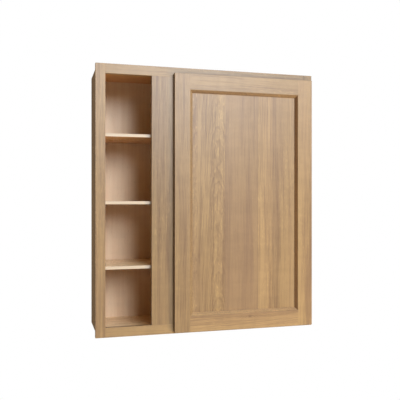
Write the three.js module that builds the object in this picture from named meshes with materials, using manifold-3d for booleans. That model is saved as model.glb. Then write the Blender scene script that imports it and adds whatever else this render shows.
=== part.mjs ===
// A hanging wall cabinet with a face frame: an open bay on the left, a wide blind stile,
// and one framed door hinged on the right. Sizes are in millimetres.
// Axes: +X to the right for someone facing the cabinet, +Y into the wall, +Z up.
// The origin is the centre of the top hang rail's wall face.
import * as THREE from "three";
import { mergeVertices } from "three/addons/utils/BufferGeometryUtils.js";
import Module from "manifold-3d";

// Modelling
const OVERLAP = 1; // how far a cutter passes the face it opens, and a joined piece enters its neighbour
const WELD_DISTANCE = 1e-4;

// Whole cabinet
const CABINET_WIDTH = 914.4;
const CABINET_HEIGHT = 1066.8;
const CABINET_DEPTH = 304.8; // wall to the front of the face frame, without the door

// Face frame
const FRAME_THICKNESS = 19.05;
const OUTER_STILE_WIDTH = 38.1;
const FRAME_RAIL_WIDTH = 38.1;
const BAY_WIDTH = 182.9;
const BLIND_STILE_WIDTH = 121.9;
const FRAME_TENON_LENGTH = 12.7;
const FRAME_TENON_THICKNESS = 6.35;
const FRAME_TENON_SHOULDER = 6.35;

// Carcass
const SIDE_INSET = 9.525; // the side panels stand this far in from the frame's outer edges
const PANEL_THICKNESS = 12.7;
const GROOVE_DEPTH = 6.35;
const FLOOR_RECESS = 7.94; // the bottom panel's underside is this far above the sides' lower edge
const BACK_THICKNESS = 3.175;
const HANG_RAIL_THICKNESS = 12.7;
const HANG_RAIL_HEIGHT = 76.2;

// Shelves and shelf pins
const SHELF_THICKNESS = 12;
const SHELF_HEIGHTS = { upper: 785.3, middle: 518.3, lower: 261.9 }; // undersides above the cabinet's base
const SHELF_END_GAP = 2;
const SHELF_FRONT_GAP = 2;
const SHELF_BACK_GAP = 2;
const EDGE_BAND_THICKNESS = 1;
const PIN_PEG_RADIUS = 2.4;
const PIN_PEG_LENGTH = 8;
const PIN_HOLE_RADIUS = 2.6;
const PIN_HOLE_DEPTH = 9;
const PIN_COLLAR_RADIUS = 3;
const PIN_COLLAR_THICKNESS = 1.5;
const PIN_TAB_LENGTH = 10;
const PIN_TAB_WIDTH = 8;
const PIN_TAB_THICKNESS = 2.2;
const PIN_HOLE_PITCH = 32;
const PIN_COLUMN_INSET = 42; // from the face frame's back, and from the back panel
const PIN_SEGMENTS = 12;

// Door
const DOOR_WIDTH = 596.9;
const DOOR_HEIGHT = 1035.05;
const DOOR_THICKNESS = 19.05;
const DOOR_GAP = 2; // between the door's back and the face frame
const DOOR_SIDE_REVEAL = 7.9;
const DOOR_BOTTOM_REVEAL = 6.35;
const DOOR_MEMBER_WIDTH = 63.5;
const DOOR_PROFILE_WIDTH = 12.1;
const DOOR_BEVEL_DEPTH = 11.2;
const DOOR_PANEL_DEPTH = 12; // from the door's front to the centre panel's face
const DOOR_PANEL_THICKNESS = 4.8;
const DOOR_TONGUE = 7.5;
const DOOR_GROOVE_ROOM = 1;
const DOOR_MITRE_GAP = 0.15;
const DOOR_TENON_LENGTH = 9.5;
const DOOR_TENON_SHOULDER = 8;
const DOOR_FRONT_EASE = 1;
const DOOR_BACK_EASE = 2.5;
const BUMPER_RADIUS = 4.8;
const BUMPER_TIP_RADIUS = 4;
const BUMPER_INSET_X = 12;
const BUMPER_INSET_Z = 25;

// Concealed single-pivot cup hinges. Their own x runs from the door's hinge edge
// (negative towards the free edge) and their own y from the frame's front (negative outwards).
const HINGE_END_DISTANCE = 100; // from the door's top and bottom to the outer hinges
const PIVOT_X = -8.2;
const PIVOT_Y = -10.5;
const CUP_X = -21;
const CUP_RADIUS = 17.5;
const CUP_WALL = 1.2;
const CUP_FLOOR = 0.8;
const CUP_DEPTH = 13;
const CUP_BORE_RADIUS = 17.8;
const CUP_BORE_DEPTH = 13.2;
const CUP_SEGMENTS = 32;
const FLANGE_RADIUS = 18.6;
const FLANGE_THICKNESS = 0.9;
const FLANGE_EDGE_X = -5;
const WING_X = [-36, -25];
const WING_HALF_HEIGHT = 28;
const CHEEK_X = [-13, -4];
const CHEEK_Z = [5.2, 14];
const CHEEK_TOP_Y = -6;
const CHEEK_RADIUS = 17;
const CHEEK_ROOT = 0.4; // the cheeks reach this far into the cup's floor
const HINGE_PIN_RADIUS = 1.2;
const HINGE_PIN_HALF_LENGTH = 9;
const CHEEK_HOLE_RADIUS = 1.35;
const CHEEK_HOLE_HALF_LENGTH = 9.2;
const EYE_RADIUS = 2.2;
const EYE_HOLE_RADIUS = 1.45;
const EYE_SEGMENTS = 16;
const ARM_HALF_HEIGHT = 4.8;
const STRAP_THICKNESS = 1.8;
const STRAP_X = [-33.3, -31.5];
const STRAP_END_Y = 5;
const PLATE_THICKNESS = 1.5;
const PLATE_Y = [1.5, 17.5];
const PLATE_HALF_HEIGHT = 17;
const SPRING_HALF_HEIGHT = 4.5;
const SPRING_THICKNESS = 0.7;
const SPRING_BACK_X = -33;
const SPRING_FOLD_X = -13;
const SPRING_ROOT_X = -16.5; // where the raised leaf leaves the flat one
const SPRING_TIP_X = -24;
const SPRING_TIP_RISE = 2.4;
const CUP_SCREW_X = -30.5;
const CUP_SCREW_Z = 22.5;
const CUP_SCREW_LENGTH = 12.9;
const ARM_SCREW_Y = 11.5;
const ARM_SCREW_LENGTH = 15;
const SCREW_HEAD_RADIUS = 3.4;
const SCREW_HEAD_HEIGHT = 0.7;
const SCREW_CROWN_RADIUS = 2.4;
const SCREW_SHANK_RADIUS = 1.75;
const SCREW_TIP_LENGTH = 3;
const SCREW_HOLE_RADIUS = 2;
const SCREW_HOLE_ROOM = 1;
const SCREW_SEGMENTS = 12;

// Derived positions
const LEFT = -CABINET_WIDTH / 2;
const RIGHT = CABINET_WIDTH / 2;
const TOP = HANG_RAIL_HEIGHT / 2;
const BASE = TOP - CABINET_HEIGHT;
const FRAME_FRONT = -CABINET_DEPTH;
const FRAME_BACK = FRAME_FRONT + FRAME_THICKNESS;
const OPENING_LEFT = LEFT + OUTER_STILE_WIDTH;
const OPENING_RIGHT = RIGHT - OUTER_STILE_WIDTH;
const OPENING_TOP = TOP - FRAME_RAIL_WIDTH;
const OPENING_BASE = BASE + FRAME_RAIL_WIDTH;
const BLIND_LEFT = OPENING_LEFT + BAY_WIDTH;
const BLIND_RIGHT = BLIND_LEFT + BLIND_STILE_WIDTH;
const SIDE_OUTER = RIGHT - SIDE_INSET;
const SIDE_INNER = SIDE_OUTER - PANEL_THICKNESS;
const GROOVE_FLOOR = SIDE_INNER + GROOVE_DEPTH;
const BACK_REAR = -HANG_RAIL_THICKNESS;
const BACK_FRONT = BACK_REAR - BACK_THICKNESS;
const FLOOR_BASE = BASE + FLOOR_RECESS;
const FLOOR_TOP = FLOOR_BASE + PANEL_THICKNESS;
const CEILING = TOP - PANEL_THICKNESS;
const DOOR_RIGHT = RIGHT - DOOR_SIDE_REVEAL;
const DOOR_LEFT = DOOR_RIGHT - DOOR_WIDTH;
const DOOR_BASE = BASE + DOOR_BOTTOM_REVEAL;
const DOOR_TOP = DOOR_BASE + DOOR_HEIGHT;
const DOOR_BACK = FRAME_FRONT - DOOR_GAP;
const DOOR_FRONT = DOOR_BACK - DOOR_THICKNESS;
const HINGE_HEIGHTS = {
  upper: DOOR_TOP - HINGE_END_DISTANCE,
  middle: (DOOR_TOP + DOOR_BASE) / 2,
  lower: DOOR_BASE + HINGE_END_DISTANCE,
};

const wasm = await Module();
wasm.setup();

// A closed three.js geometry as a solid, with its faces turned outwards.
function solid(geometry) {
  const bare = geometry.clone();
  bare.deleteAttribute("normal");
  bare.deleteAttribute("uv");
  const merged = mergeVertices(bare, WELD_DISTANCE);
  const points = merged.attributes.position;
  const corner = [new THREE.Vector3(), new THREE.Vector3(), new THREE.Vector3()];
  const triangles = [];
  let volume = 0;
  for (let i = 0; i < merged.index.count; i += 3) {
    const [a, b, c] = [0, 1, 2].map((k) => merged.index.getX(i + k));
    if (a === b || b === c || a === c) continue;
    [a, b, c].forEach((vertex, k) => corner[k].fromBufferAttribute(points, vertex));
    volume += corner[0].dot(corner[1].cross(corner[2]));
    triangles.push([a, b, c]);
  }
  const outward = volume < 0 ? triangles.map(([a, b, c]) => [b, a, c]) : triangles;
  const triVerts = new Uint32Array(outward.flat());
  return new wasm.Manifold(
    new wasm.Mesh({ numProp: 3, vertProperties: points.array, triVerts }),
  );
}

// Each vertex of a geometry moved to where `place` says.
function mapped(geometry, place) {
  const points = geometry.attributes.position;
  for (let i = 0; i < points.count; i += 1) {
    points.setXYZ(i, ...place(points.getX(i), points.getY(i), points.getZ(i)));
  }
  return geometry;
}

function box([x0, x1], [y0, y1], [z0, z1]) {
  const pick = (side, low, high) => (side > 0 ? high : low);
  return solid(
    mapped(new THREE.BoxGeometry(2, 2, 2), (x, y, z) => [
      pick(x, x0, x1),
      pick(y, y0, y1),
      pick(z, z0, z1),
    ]),
  );
}

// A flat outline of [u, v] points swept from 0 to 1, each vertex placed by place(u, v, sweep).
function prism(outline, place, steps = 1) {
  const shape = new THREE.Shape(outline.map(([u, v]) => new THREE.Vector2(u, v)));
  const geometry = new THREE.ExtrudeGeometry(shape, {
    depth: 1,
    steps,
    bevelEnabled: false,
  });
  return solid(mapped(geometry, place));
}

// A profile of [radius, height] points turned about the line through `centre` along `axis`.
function turned(profile, segments, axis, centre) {
  const points = profile.map(([r, h]) => new THREE.Vector2(r, h));
  const geometry = new THREE.LatheGeometry(points, segments);
  const turn = new THREE.Quaternion();
  turn.setFromUnitVectors(new THREE.Vector3(0, 1, 0), new THREE.Vector3(...axis));
  geometry.applyQuaternion(turn);
  geometry.translate(...centre);
  return solid(geometry);
}

function rod(radius, from, to, segments, axis, centre) {
  const profile = [
    [0, from],
    [radius, from],
    [radius, to],
    [0, to],
  ];
  return turned(profile, segments, axis, centre);
}

// Materials and the finished meshes
const STAINED_WOOD = { color: 0xbd9f7c, roughness: 0.5, metalness: 0 };
const MAPLE = { color: 0xd8b893, roughness: 0.55, metalness: 0 };
const BAND = { color: 0xe6d2b8, roughness: 0.45, metalness: 0 };
const NICKEL = { color: 0xb9b9b6, roughness: 0.32, metalness: 1 };
const STEEL = { color: 0x8f9092, roughness: 0.4, metalness: 1 };
const CLEAR_PLASTIC = { color: 0xe4e5e2, roughness: 0.3, metalness: 0 };

const cabinet = new THREE.Group();
cabinet.name = "hanging_wall_cabinet";

function add(name, made, look) {
  const { vertProperties, triVerts, numProp } = made.getMesh();
  const points = new Float32Array((vertProperties.length / numProp) * 3);
  for (let i = 0; i < points.length / 3; i += 1) {
    points.set(vertProperties.subarray(i * numProp, i * numProp + 3), i * 3);
  }
  const indexed = new THREE.BufferGeometry();
  indexed.setAttribute("position", new THREE.BufferAttribute(points, 3));
  indexed.setIndex(new THREE.BufferAttribute(triVerts, 1));
  const geometry = indexed.toNonIndexed();
  geometry.computeVertexNormals();
  const mesh = new THREE.Mesh(geometry, new THREE.MeshStandardMaterial(look));
  mesh.name = name;
  cabinet.add(mesh);
}

// Face frame: rails tenoned into full-height outer stiles, blind stile tenoned into the rails.
const frameDepth = [FRAME_FRONT, FRAME_BACK];
const tenonDepth = [
  (FRAME_FRONT + FRAME_BACK - FRAME_TENON_THICKNESS) / 2,
  (FRAME_FRONT + FRAME_BACK + FRAME_TENON_THICKNESS) / 2,
];
const railBands = {
  top: [OPENING_TOP, TOP],
  bottom: [BASE, OPENING_BASE],
};
const inset = ([low, high], by) => [low + by, high - by];

function sideTenons(edge, outwards) {
  const ends = [edge, edge + outwards * FRAME_TENON_LENGTH];
  const spanX = [Math.min(...ends), Math.max(...ends)];
  return Object.values(railBands).map((band) =>
    box(spanX, tenonDepth, inset(band, FRAME_TENON_SHOULDER)),
  );
}

const blindTenons = [
  box(
    inset([BLIND_LEFT, BLIND_RIGHT], FRAME_TENON_SHOULDER),
    tenonDepth,
    [OPENING_TOP, OPENING_TOP + FRAME_TENON_LENGTH],
  ),
  box(
    inset([BLIND_LEFT, BLIND_RIGHT], FRAME_TENON_SHOULDER),
    tenonDepth,
    [OPENING_BASE - FRAME_TENON_LENGTH, OPENING_BASE],
  ),
];
const leftTenons = sideTenons(OPENING_LEFT, -1);
const rightTenons = sideTenons(OPENING_RIGHT, 1);

function armScrewHole(height) {
  return rod(
    SCREW_HOLE_RADIUS,
    0,
    ARM_SCREW_LENGTH + SCREW_HOLE_ROOM,
    SCREW_SEGMENTS,
    [1, 0, 0],
    [OPENING_RIGHT - PLATE_THICKNESS, FRAME_FRONT + ARM_SCREW_Y, height],
  );
}

let leftStile = box([LEFT, OPENING_LEFT], frameDepth, [BASE, TOP]);
leftTenons.forEach((tenon) => {
  leftStile = leftStile.subtract(tenon);
});
let rightStile = box([OPENING_RIGHT, RIGHT], frameDepth, [BASE, TOP]);
rightTenons.forEach((tenon) => {
  rightStile = rightStile.subtract(tenon);
});
Object.values(HINGE_HEIGHTS).forEach((height) => {
  rightStile = rightStile.subtract(armScrewHole(height));
});
add("frame_left_stile", leftStile, STAINED_WOOD);
add("frame_right_stile", rightStile, STAINED_WOOD);
Object.entries(railBands).forEach(([end, band], index) => {
  const rail = box([OPENING_LEFT, OPENING_RIGHT], frameDepth, band)
    .add(leftTenons[index])
    .add(rightTenons[index])
    .subtract(blindTenons[index]);
  add(`frame_${end}_rail`, rail, STAINED_WOOD);
});
const blindStile = box([BLIND_LEFT, BLIND_RIGHT], frameDepth, [OPENING_BASE, OPENING_TOP])
  .add(blindTenons[0])
  .add(blindTenons[1]);
add("frame_blind_stile", blindStile, STAINED_WOOD);

// Carcass: grooved side panels hold the top, the bottom and the back.
const topPanel = box([-GROOVE_FLOOR, GROOVE_FLOOR], [FRAME_BACK, BACK_FRONT], [CEILING, TOP]);
const bottomPanel = box(
  [-GROOVE_FLOOR, GROOVE_FLOOR],
  [FRAME_BACK, BACK_FRONT],
  [FLOOR_BASE, FLOOR_TOP],
);
const backPanel = box([-GROOVE_FLOOR, GROOVE_FLOOR], [BACK_FRONT, BACK_REAR], [FLOOR_BASE, TOP]);
add("top_panel", topPanel, MAPLE);
add("bottom_panel", bottomPanel, MAPLE);
add("back_panel", backPanel, MAPLE);
add(
  "top_hang_rail",
  box([-SIDE_INNER, SIDE_INNER], [BACK_REAR, 0], [TOP - HANG_RAIL_HEIGHT, TOP]),
  MAPLE,
);
add(
  "bottom_hang_rail",
  box([-SIDE_INNER, SIDE_INNER], [BACK_REAR, 0], [FLOOR_BASE, FLOOR_BASE + HANG_RAIL_HEIGHT]),
  MAPLE,
);

const pinColumns = {
  front: FRAME_BACK + PIN_COLUMN_INSET,
  back: BACK_FRONT - PIN_COLUMN_INSET,
};
const shelfUndersides = Object.fromEntries(
  Object.entries(SHELF_HEIGHTS).map(([level, height]) => [level, BASE + height]),
);
const pinHeight = (underside) => underside - PIN_COLLAR_RADIUS;

function pinHoles(side) {
  const holes = [];
  Object.values(shelfUndersides).forEach((underside) => {
    Object.values(pinColumns).forEach((y) => {
      [-PIN_HOLE_PITCH, 0, PIN_HOLE_PITCH].forEach((step) => {
        const mouth = [side * SIDE_INNER, y, pinHeight(underside) + step];
        holes.push(
          rod(PIN_HOLE_RADIUS, -OVERLAP, PIN_HOLE_DEPTH, PIN_SEGMENTS, [side, 0, 0], mouth),
        );
      });
    });
  });
  return holes;
}

Object.entries({ left: -1, right: 1 }).forEach(([name, side]) => {
  const spanX = [side * SIDE_INNER, side * SIDE_OUTER].sort((a, b) => a - b);
  let panel = box(spanX, [FRAME_BACK, 0], [BASE, TOP]);
  [topPanel, bottomPanel, backPanel, ...pinHoles(side)].forEach((cut) => {
    panel = panel.subtract(cut);
  });
  add(`${name}_side_panel`, panel, STAINED_WOOD);
});

// Shelves with a band on the front edge, each resting on four pins.
const shelfEnd = SIDE_INNER - SHELF_END_GAP;
const shelfFront = FRAME_BACK + SHELF_FRONT_GAP;
const bandBack = shelfFront + EDGE_BAND_THICKNESS;

function shelfPin(side, y, underside) {
  const face = [side * SIDE_INNER, y, pinHeight(underside)];
  const inwards = -side;
  const peg = rod(PIN_PEG_RADIUS, -OVERLAP, PIN_PEG_LENGTH, PIN_SEGMENTS, [side, 0, 0], face);
  const collar = rod(
    PIN_COLLAR_RADIUS,
    0,
    PIN_COLLAR_THICKNESS,
    PIN_SEGMENTS,
    [inwards, 0, 0],
    face,
  );
  const reach = [side * (SIDE_INNER - OVERLAP), side * (SIDE_INNER - PIN_TAB_LENGTH)];
  const tab = box(
    reach.sort((a, b) => a - b),
    [y - PIN_TAB_WIDTH / 2, y + PIN_TAB_WIDTH / 2],
    [underside - PIN_TAB_THICKNESS, underside],
  );
  return peg.add(collar).add(tab);
}

Object.entries(shelfUndersides).forEach(([level, underside]) => {
  const thickness = [underside, underside + SHELF_THICKNESS];
  add(
    `${level}_shelf`,
    box([-shelfEnd, shelfEnd], [bandBack, BACK_FRONT - SHELF_BACK_GAP], thickness),
    MAPLE,
  );
  add(`${level}_shelf_edge_band`, box([-shelfEnd, shelfEnd], [shelfFront, bandBack], thickness), BAND);
  Object.entries({ left: -1, right: 1 }).forEach(([sideName, side]) => {
    Object.entries(pinColumns).forEach(([columnName, y]) => {
      add(`${level}_shelf_pin_${sideName}_${columnName}`, shelfPin(side, y, underside), STEEL);
    });
  });
});

// Door: two full-height stiles, two rails between them and a flat panel held in their grooves.
// The moulded inner edge of each member is mitred where it meets the next one.
const stileInner = {
  left: DOOR_LEFT + DOOR_MEMBER_WIDTH,
  right: DOOR_RIGHT - DOOR_MEMBER_WIDTH,
};
const railInner = {
  top: DOOR_TOP - DOOR_MEMBER_WIDTH,
  bottom: DOOR_BASE + DOOR_MEMBER_WIDTH,
};
const panelFront = DOOR_FRONT + DOOR_PANEL_DEPTH;
const panelBack = panelFront + DOOR_PANEL_THICKNESS;
const grooveFloor = DOOR_PROFILE_WIDTH - DOOR_TONGUE - DOOR_GROOVE_ROOM;
const mouldedEdge = [
  [0, DOOR_FRONT],
  [DOOR_PROFILE_WIDTH, DOOR_FRONT + DOOR_BEVEL_DEPTH],
  [DOOR_PROFILE_WIDTH, panelFront],
  [grooveFloor, panelFront],
  [grooveFloor, panelBack],
  [DOOR_PROFILE_WIDTH, panelBack],
  [DOOR_PROFILE_WIDTH, DOOR_BACK],
  [0, DOOR_BACK],
];
const between = (low, high, share) => low + (high - low) * share;

// A point of a moulded strip along its member, between ends cut back by the mitres.
function mitred(low, high, distance, share) {
  const back = distance + DOOR_MITRE_GAP;
  return between(low + back, high - back, share);
}

// The door's outer shape: a slab with eased edges, as four outlines from front to back.
const doorOutlines = [
  { y: DOOR_FRONT, ease: DOOR_FRONT_EASE },
  { y: DOOR_FRONT + DOOR_FRONT_EASE, ease: 0 },
  { y: DOOR_BACK - DOOR_BACK_EASE, ease: 0 },
  { y: DOOR_BACK, ease: DOOR_BACK_EASE },
];
const doorSteps = doorOutlines.length - 1;
const unitSquare = [
  [0, 0],
  [1, 0],
  [1, 1],
  [0, 1],
];
const doorBlank = prism(
  unitSquare,
  (u, v, sweep) => {
    const { y, ease } = doorOutlines[Math.round(sweep * doorSteps)];
    return [
      between(DOOR_LEFT + ease, DOOR_RIGHT - ease, u),
      y,
      between(DOOR_BASE + ease, DOOR_TOP - ease, v),
    ];
  },
  doorSteps,
);

const doorDepth = [DOOR_FRONT, DOOR_BACK];
const railRanges = {
  top: [railInner.top, DOOR_TOP],
  bottom: [DOOR_BASE, railInner.bottom],
};
const doorTenons = {};
Object.entries(railRanges).forEach(([end, range]) => {
  const height = inset(range, DOOR_TENON_SHOULDER);
  doorTenons[end] = {
    left: box([stileInner.left - DOOR_TENON_LENGTH, stileInner.left], [panelFront, panelBack], height),
    right: box([stileInner.right, stileInner.right + DOOR_TENON_LENGTH], [panelFront, panelBack], height),
  };
});

Object.entries(railRanges).forEach(([end, range]) => {
  const into = end === "top" ? -1 : 1;
  const strip = prism(mouldedEdge, (distance, y, share) => [
    mitred(stileInner.left, stileInner.right, distance, share),
    y,
    railInner[end] + into * distance,
  ]);
  const rail = box([stileInner.left, stileInner.right], doorDepth, range)
    .intersect(doorBlank)
    .add(strip)
    .add(doorTenons[end].left)
    .add(doorTenons[end].right);
  add(`door_${end}_rail`, rail, STAINED_WOOD);
});

function doorStile(side) {
  const into = side === "left" ? 1 : -1;
  const outer = side === "left" ? DOOR_LEFT : DOOR_RIGHT;
  const spanX = [outer, stileInner[side]].sort((a, b) => a - b);
  const strip = prism(mouldedEdge, (distance, y, share) => [
    stileInner[side] + into * distance,
    y,
    mitred(railInner.bottom, railInner.top, distance, share),
  ]);
  return box(spanX, doorDepth, [DOOR_BASE, DOOR_TOP])
    .intersect(doorBlank)
    .add(strip)
    .subtract(doorTenons.top[side])
    .subtract(doorTenons.bottom[side]);
}

const hingeX = (x) => DOOR_RIGHT + x;
const hingeY = (y) => FRAME_FRONT + y;
const cupMouth = -DOOR_GAP;
const cupBottom = cupMouth - CUP_DEPTH;
const flangeTop = cupMouth + FLANGE_THICKNESS;

function cupScrewHole(height) {
  const mouth = [hingeX(CUP_SCREW_X), hingeY(flangeTop), height];
  const depth = CUP_SCREW_LENGTH + SCREW_HOLE_ROOM;
  return rod(SCREW_HOLE_RADIUS, -OVERLAP, depth, SCREW_SEGMENTS, [0, -1, 0], mouth);
}

let hingeStile = doorStile("right");
Object.values(HINGE_HEIGHTS).forEach((height) => {
  const mouth = [hingeX(CUP_X), hingeY(cupMouth), height];
  hingeStile = hingeStile
    .subtract(rod(CUP_BORE_RADIUS, -OVERLAP, CUP_BORE_DEPTH, CUP_SEGMENTS, [0, -1, 0], mouth))
    .subtract(cupScrewHole(height + CUP_SCREW_Z))
    .subtract(cupScrewHole(height - CUP_SCREW_Z));
});
add("door_hinge_stile", hingeStile, STAINED_WOOD);
add("door_free_stile", doorStile("left"), STAINED_WOOD);
const panelEdge = grooveFloor + DOOR_GROOVE_ROOM;
add(
  "door_centre_panel",
  box(
    [stileInner.left + panelEdge, stileInner.right - panelEdge],
    [panelFront, panelBack],
    [railInner.bottom + panelEdge, railInner.top - panelEdge],
  ),
  STAINED_WOOD,
);

// Clear bumpers at the free corners, closing the gap to the face frame.
Object.entries({
  top: DOOR_TOP - BUMPER_INSET_Z,
  bottom: DOOR_BASE + BUMPER_INSET_Z,
}).forEach(([end, height]) => {
  const profile = [
    [0, DOOR_BACK],
    [BUMPER_RADIUS, DOOR_BACK],
    [BUMPER_TIP_RADIUS, FRAME_FRONT],
    [0, FRAME_FRONT],
  ];
  const bumper = turned(profile, PIN_SEGMENTS, [0, 1, 0], [DOOR_LEFT + BUMPER_INSET_X, 0, height]);
  add(`door_bumper_${end}`, bumper, CLEAR_PLASTIC);
});

// Hinges
const upAndDown = (halfHeight) => [-halfHeight, halfHeight];

function hingeBox([x0, x1], [y0, y1], [z0, z1], height) {
  return box([hingeX(x0), hingeX(x1)], [hingeY(y0), hingeY(y1)], [height + z0, height + z1]);
}

function pivotRod(radius, halfLength, segments, height) {
  const centre = [hingeX(PIVOT_X), hingeY(PIVOT_Y), height];
  return rod(radius, -halfLength, halfLength, segments, [0, 0, 1], centre);
}

function hingeCup(height) {
  const centre = [hingeX(CUP_X), hingeY(0), height];
  const innerRadius = CUP_RADIUS - CUP_WALL;
  const innerFloor = cupBottom + CUP_FLOOR;
  const shell = [
    [0, cupBottom],
    [CUP_RADIUS, cupBottom],
    [CUP_RADIUS, flangeTop],
    [innerRadius, flangeTop],
    [innerRadius, innerFloor],
    [0, innerFloor],
  ];
  const upright = [0, 1, 0];
  const mouth = rod(
    innerRadius,
    cupMouth - OVERLAP,
    flangeTop + OVERLAP,
    CUP_SEGMENTS,
    upright,
    centre,
  );
  const flange = rod(FLANGE_RADIUS, cupMouth, flangeTop, CUP_SEGMENTS, upright, centre)
    .add(hingeBox(WING_X, [cupMouth, flangeTop], upAndDown(WING_HALF_HEIGHT), height))
    .subtract(mouth);
  const cheekLimit = rod(CHEEK_RADIUS, innerFloor - CHEEK_ROOT, CHEEK_TOP_Y, CUP_SEGMENTS, upright, centre);
  const cheekSpan = [innerFloor - CHEEK_ROOT, CHEEK_TOP_Y];
  const [near, far] = CHEEK_Z;
  const cheeks = hingeBox(CHEEK_X, cheekSpan, [near, far], height)
    .add(hingeBox(CHEEK_X, cheekSpan, [-far, -near], height))
    .intersect(cheekLimit);
  const edgeCut = hingeBox(
    [FLANGE_EDGE_X, 0],
    [cupMouth, 0],
    upAndDown(FLANGE_RADIUS),
    height,
  );
  return turned(shell, CUP_SEGMENTS, upright, centre)
    .add(flange)
    .add(cheeks)
    .subtract(edgeCut)
    .subtract(pivotRod(CHEEK_HOLE_RADIUS, CHEEK_HOLE_HALF_LENGTH, SCREW_SEGMENTS, height))
    .subtract(cupScrewHole(height + CUP_SCREW_Z))
    .subtract(cupScrewHole(height - CUP_SCREW_Z));
}

// The arm: an eye round the pivot pin, a strap cranked out of the cup, and the frame plate.
function hingeArm(height) {
  const [strapLeft, strapRight] = STRAP_X;
  const strapFront = PIVOT_Y - STRAP_THICKNESS / 2;
  const strapBack = PIVOT_Y + STRAP_THICKNESS / 2;
  const narrow = upAndDown(ARM_HALF_HEIGHT);
  const plateX = OPENING_RIGHT - DOOR_RIGHT;
  return pivotRod(EYE_RADIUS, ARM_HALF_HEIGHT, EYE_SEGMENTS, height)
    .add(hingeBox([strapLeft, PIVOT_X], [strapFront, strapBack], narrow, height))
    .add(hingeBox([strapLeft, strapRight], [strapFront, STRAP_END_Y], narrow, height))
    .add(hingeBox([plateX - PLATE_THICKNESS, plateX], PLATE_Y, upAndDown(PLATE_HALF_HEIGHT), height))
    .subtract(pivotRod(EYE_HOLE_RADIUS, ARM_HALF_HEIGHT + OVERLAP, SCREW_SEGMENTS, height))
    .subtract(armScrewHole(height));
}

// A folded leaf on the cup's floor that presses the arm when the door is nearly shut.
function hingeSpring(height) {
  const floor = cupBottom + CUP_FLOOR;
  const half = SPRING_THICKNESS / 2;
  const leaf = [
    [SPRING_BACK_X, floor],
    [SPRING_FOLD_X - half, floor],
    [SPRING_FOLD_X, floor + half],
    [SPRING_FOLD_X - half, floor + SPRING_THICKNESS + half],
    [SPRING_TIP_X, floor + SPRING_TIP_RISE],
    [SPRING_TIP_X, floor + SPRING_TIP_RISE - SPRING_THICKNESS],
    [SPRING_ROOT_X, floor + SPRING_THICKNESS],
    [SPRING_BACK_X, floor + SPRING_THICKNESS],
  ];
  return prism(leaf, (x, y, share) => [
    hingeX(x),
    hingeY(y),
    between(height - SPRING_HALF_HEIGHT, height + SPRING_HALF_HEIGHT, share),
  ]);
}

function screw(length, axis, seat) {
  const profile = [
    [0, -SCREW_HEAD_HEIGHT],
    [SCREW_CROWN_RADIUS, -SCREW_HEAD_HEIGHT],
    [SCREW_HEAD_RADIUS, 0],
    [SCREW_SHANK_RADIUS, 0],
    [SCREW_SHANK_RADIUS, length - SCREW_TIP_LENGTH],
    [0, length],
  ];
  return turned(profile, SCREW_SEGMENTS, axis, seat);
}

Object.entries(HINGE_HEIGHTS).forEach(([level, height]) => {
  add(`${level}_hinge_cup`, hingeCup(height), NICKEL);
  add(`${level}_hinge_arm`, hingeArm(height), NICKEL);
  add(
    `${level}_hinge_pin`,
    pivotRod(HINGE_PIN_RADIUS, HINGE_PIN_HALF_LENGTH, SCREW_SEGMENTS, height),
    STEEL,
  );
  add(`${level}_hinge_spring`, hingeSpring(height), STEEL);
  Object.entries({ top: CUP_SCREW_Z, bottom: -CUP_SCREW_Z }).forEach(([end, offset]) => {
    const seat = [hingeX(CUP_SCREW_X), hingeY(flangeTop), height + offset];
    add(`${level}_hinge_cup_screw_${end}`, screw(CUP_SCREW_LENGTH, [0, -1, 0], seat), STEEL);
  });
  const armSeat = [OPENING_RIGHT - PLATE_THICKNESS, hingeY(ARM_SCREW_Y), height];
  add(`${level}_hinge_arm_screw`, screw(ARM_SCREW_LENGTH, [1, 0, 0], armSeat), STEEL);
});

export default cabinet;
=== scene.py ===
import math

import bmesh
import bpy
from mathutils import Matrix, Vector


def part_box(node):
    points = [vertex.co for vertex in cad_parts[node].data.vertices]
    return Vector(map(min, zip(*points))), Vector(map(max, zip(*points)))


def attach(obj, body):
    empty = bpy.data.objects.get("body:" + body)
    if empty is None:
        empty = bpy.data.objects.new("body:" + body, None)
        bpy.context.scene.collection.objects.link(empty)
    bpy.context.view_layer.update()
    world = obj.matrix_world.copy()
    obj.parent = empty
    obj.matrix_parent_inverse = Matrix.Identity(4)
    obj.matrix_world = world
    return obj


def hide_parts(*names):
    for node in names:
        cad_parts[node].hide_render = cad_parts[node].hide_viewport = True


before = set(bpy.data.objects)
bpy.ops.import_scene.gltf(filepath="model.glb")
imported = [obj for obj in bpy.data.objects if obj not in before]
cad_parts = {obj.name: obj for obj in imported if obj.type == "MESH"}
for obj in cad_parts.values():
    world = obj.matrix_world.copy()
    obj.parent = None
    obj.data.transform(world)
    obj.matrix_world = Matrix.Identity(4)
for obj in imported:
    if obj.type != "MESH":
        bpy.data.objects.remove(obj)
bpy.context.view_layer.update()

MM = 0.001


# ---------------- camera, lights and stage
CAMERA_PLACE = (-0.6551, -2.5465, -0.4935)
CAMERA_YAW = math.radians(15.39)  # turned towards +X from straight at the wall
CAMERA_LENS = 51.55
SENSOR_WIDTH = 36
NEAR_CLIP = 0.05

LAMP_TARGET = Vector((0, -0.3, -0.5))  # what the distant lamps are turned to
LAMP_DISTANCE = 10
COOL_WHITE = (0.912, 0.943, 1)
SOFT_WHITE = (1, 0.985, 0.965)
GOLDEN = (1, 0.74, 0.30)
SKY_BLUE = (0.42, 0.72, 1)
BOUNCE_TARGET = Vector((0, -0.3, -1.0))
BOUNCE_OFFSET = Vector((2.2, -2.3, -1.5))
SKY_TARGET = Vector((0, -0.3, 0))
SKY_OFFSET = Vector((0.5, -1.7, 1.3))
WORLD_LIGHT = 0.05
WORLD_COLOUR = (1, 0.72, 0.48, 1)

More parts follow.
